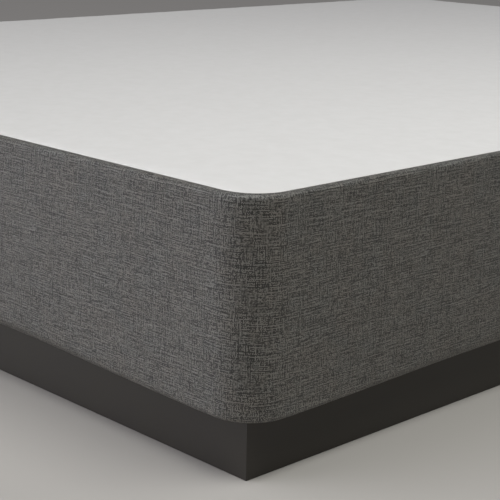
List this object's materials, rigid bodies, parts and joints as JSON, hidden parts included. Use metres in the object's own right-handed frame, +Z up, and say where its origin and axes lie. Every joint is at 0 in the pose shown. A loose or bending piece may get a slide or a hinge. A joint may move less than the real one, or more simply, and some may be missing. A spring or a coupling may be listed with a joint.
{
  "type": "box spring cover on a box spring with a plinth base",
  "caption": "Fitted linen-look cloth cover with a flat platform panel, a smooth side band and a turned-under hem, on a plain box spring that stands on a dark mitred plinth.",
  "frame": {"origin": "on the floor, under the middle of the bed", "axes": "+Y towards the head end of the bed, +Z up, so the foot end faces -Y and +X is on the right seen from the foot"},
  "size_m": [1.5355, 2.0433, 0.2964],
  "materials": {
    "linen_look_cloth": "grey melange linen-look plain weave, matt",
    "platform_cloth": "off-white plain weave, matt",
    "ticking": "plain off-white ticking, matt",
    "painted_board": "dark taupe paint, satin"
  },
  "bodies": {
    "root": {"cover_side_band": "linen_look_cloth", "cover_top_panel": "platform_cloth", "box_spring": "ticking", "plinth_foot": "painted_board", "plinth_head": "painted_board", "plinth_left": "painted_board", "plinth_right": "painted_board"}
  },
  "joints": []
}
